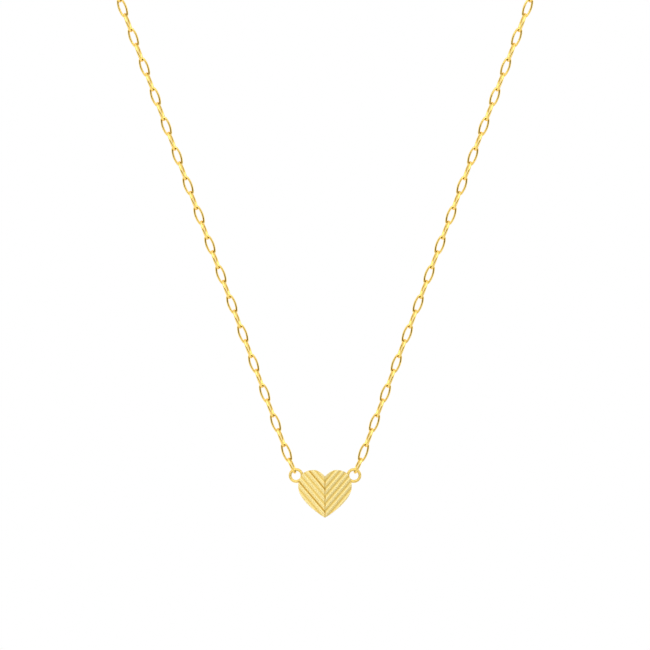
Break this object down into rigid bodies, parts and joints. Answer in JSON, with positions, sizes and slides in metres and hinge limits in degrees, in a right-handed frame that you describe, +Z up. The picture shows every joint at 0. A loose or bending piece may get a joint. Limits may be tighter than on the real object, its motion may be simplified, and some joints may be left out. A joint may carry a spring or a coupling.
{
  "type": "pendant necklace",
  "caption": "Fine gold cable-chain necklace with a pleated heart pendant held by a ring at each shoulder, closed at the nape with a lobster claw clasp.",
  "frame": {"origin": "middle of the fastener at the top of the loop, where the chain rests on the nape of the neck or on a display form", "axes": "+Z up, the pendant hangs below; the heart's front faces -Y; +X to the viewer's right"},
  "size_m": [0.0978, 0.0036, 0.1749],
  "materials": {
    "chain_gold": "polished 14 carat yellow gold wire",
    "pendant_gold": "bright-cut 14 carat yellow gold, pleated front",
    "clasp_gold": "cast and polished 14 carat yellow gold",
    "spring_steel": "drawn spring wire"
  },
  "bodies": {
    "neck_chain": {"chain_neck_left": "chain_gold", "chain_neck_right": "chain_gold", "chain_upper_left": "chain_gold", "chain_upper_right": "chain_gold", "link_left_19": "chain_gold", "link_right_19": "chain_gold", "fastener_link_left": "chain_gold", "fastener_link_right": "chain_gold"},
    "link_pair_18": {"link_left_18": "chain_gold", "link_right_18": "chain_gold"},
    "link_pair_17": {"link_left_17": "chain_gold", "link_right_17": "chain_gold"},
    "link_pair_16": {"link_left_16": "chain_gold", "link_right_16": "chain_gold"},
    "link_pair_15": {"link_left_15": "chain_gold", "link_right_15": "chain_gold"},
    "link_pair_14": {"link_left_14": "chain_gold", "link_right_14": "chain_gold"},
    "link_pair_13": {"link_left_13": "chain_gold", "link_right_13": "chain_gold"},
    "link_pair_12": {"link_left_12": "chain_gold", "link_right_12": "chain_gold"},
    "link_pair_11": {"link_left_11": "chain_gold", "link_right_11": "chain_gold"},
    "link_pair_10": {"link_left_10": "chain_gold", "link_right_10": "chain_gold"},
    "link_pair_09": {"link_left_09": "chain_gold", "link_right_09": "chain_gold"},
    "link_pair_08": {"link_left_08": "chain_gold", "link_right_08": "chain_gold"},
    "link_pair_07": {"link_left_07": "chain_gold", "link_right_07": "chain_gold"},
    "link_pair_06": {"link_left_06": "chain_gold", "link_right_06": "chain_gold"},
    "link_pair_05": {"link_left_05": "chain_gold", "link_right_05": "chain_gold"},
    "link_pair_04": {"link_left_04": "chain_gold", "link_right_04": "chain_gold"},
    "link_pair_03": {"link_left_03": "chain_gold", "link_right_03": "chain_gold"},
    "link_pair_02": {"link_left_02": "chain_gold", "link_right_02": "chain_gold"},
    "link_pair_01": {"link_left_01": "chain_gold", "link_right_01": "chain_gold"},
    "pendant": {"heart_plate": "pendant_gold", "shoulder_ring_left": "pendant_gold", "shoulder_ring_right": "pendant_gold"},
    "jump_ring": {"jump_ring": "chain_gold"},
    "clasp": {"clasp_body": "clasp_gold", "clasp_pin": "clasp_gold", "clasp_spring": "spring_steel"},
    "clasp_lever": {"clasp_lever": "clasp_gold"},
    "end_ring": {"end_ring": "chain_gold"}
  },
  "joints": [
    {"name": "link_18_swing", "type": "hinge", "parent": "neck_chain", "child": "link_pair_18", "pos_m": [0, 0, -0.12563], "axis": [1, 0, 0], "range_deg": [-20, 50]},
    {"name": "link_17_swing", "type": "hinge", "parent": "link_pair_18", "child": "link_pair_17", "pos_m": [0, 0, -0.12819], "axis": [-1, 0, 0], "range_deg": [-20, 50]},
    {"name": "link_16_swing", "type": "hinge", "parent": "link_pair_17", "child": "link_pair_16", "pos_m": [0, 0, -0.13006], "axis": [1, 0, 0], "range_deg": [-20, 50]},
    {"name": "link_15_swing", "type": "hinge", "parent": "link_pair_16", "child": "link_pair_15", "pos_m": [0, 0, -0.13262], "axis": [-1, 0, 0], "range_deg": [-20, 50]},
    {"name": "link_14_swing", "type": "hinge", "parent": "link_pair_15", "child": "link_pair_14", "pos_m": [0, 0, -0.13449], "axis": [1, 0, 0], "range_deg": [-20, 50]},
    {"name": "link_13_swing", "type": "hinge", "parent": "link_pair_14", "child": "link_pair_13", "pos_m": [0, 0, -0.13705], "axis": [-1, 0, 0], "range_deg": [-20, 50]},
    {"name": "link_12_swing", "type": "hinge", "parent": "link_pair_13", "child": "link_pair_12", "pos_m": [0, 0, -0.13892], "axis": [1, 0, 0], "range_deg": [-20, 50]},
    {"name": "link_11_swing", "type": "hinge", "parent": "link_pair_12", "child": "link_pair_11", "pos_m": [0, 0, -0.14149], "axis": [-1, 0, 0], "range_deg": [-20, 50]},
    {"name": "link_10_swing", "type": "hinge", "parent": "link_pair_11", "child": "link_pair_10", "pos_m": [0, 0, -0.14336], "axis": [1, 0, 0], "range_deg": [-20, 50]},
    {"name": "link_09_swing", "type": "hinge", "parent": "link_pair_10", "child": "link_pair_09", "pos_m": [0, 0, -0.14592], "axis": [-1, 0, 0], "range_deg": [-20, 50]},
    {"name": "link_08_swing", "type": "hinge", "parent": "link_pair_09", "child": "link_pair_08", "pos_m": [0, 0, -0.14779], "axis": [1, 0, 0], "range_deg": [-20, 50]},
    {"name": "link_07_swing", "type": "hinge", "parent": "link_pair_08", "child": "link_pair_07", "pos_m": [0, 0, -0.15035], "axis": [-1, 0, 0], "range_deg": [-20, 50]},
    {"name": "link_06_swing", "type": "hinge", "parent": "link_pair_07", "child": "link_pair_06", "pos_m": [0, 0, -0.15222], "axis": [1, 0, 0], "range_deg": [-20, 50]},
    {"name": "link_05_swing", "type": "hinge", "parent": "link_pair_06", "child": "link_pair_05", "pos_m": [0, 0, -0.15478], "axis": [-1, 0, 0], "range_deg": [-20, 50]},
    {"name": "link_04_swing", "type": "hinge", "parent": "link_pair_05", "child": "link_pair_04", "pos_m": [0, 0, -0.15665], "axis": [1, 0, 0], "range_deg": [-20, 50]},
    {"name": "link_03_swing", "type": "hinge", "parent": "link_pair_04", "child": "link_pair_03", "pos_m": [0, 0, -0.15921], "axis": [-1, 0, 0], "range_deg": [-20, 50]},
    {"name": "link_02_swing", "type": "hinge", "parent": "link_pair_03", "child": "link_pair_02", "pos_m": [0, 0, -0.16108], "axis": [1, 0, 0], "range_deg": [-20, 50]},
    {"name": "link_01_swing", "type": "hinge", "parent": "link_pair_02", "child": "link_pair_01", "pos_m": [0, 0, -0.16365], "axis": [-1, 0, 0], "range_deg": [-20, 50]},
    {"name": "heart_swing", "type": "hinge", "parent": "link_pair_01", "child": "pendant", "pos_m": [0, 0, -0.16498], "axis": [1, 0, 0], "range_deg": [-20, 60]},
    {"name": "jump_ring_roll", "type": "hinge", "parent": "neck_chain", "child": "jump_ring", "pos_m": [-0.00481, 0, 0], "axis": [1, 0, 0], "range_deg": [-10, 10]},
    {"name": "clasp_roll", "type": "hinge", "parent": "jump_ring", "child": "clasp", "pos_m": [-0.00316, 0, 0], "axis": [1, 0, 0], "range_deg": [-14, 14]},
    {"name": "clasp_lever_turn", "type": "hinge", "parent": "clasp", "child": "clasp_lever", "pos_m": [-0.00086, 0, 0.00075], "axis": [0, 1, 0], "range_deg": [0, 25], "stiffness_Nm_per_rad": 0.006, "deforming": ["clasp_spring"]},
    {"name": "end_ring_roll", "type": "hinge", "parent": "neck_chain", "child": "end_ring", "pos_m": [0.00466, 0, 0], "axis": [1, 0, 0], "range_deg": [-10, 10]}
  ]
}
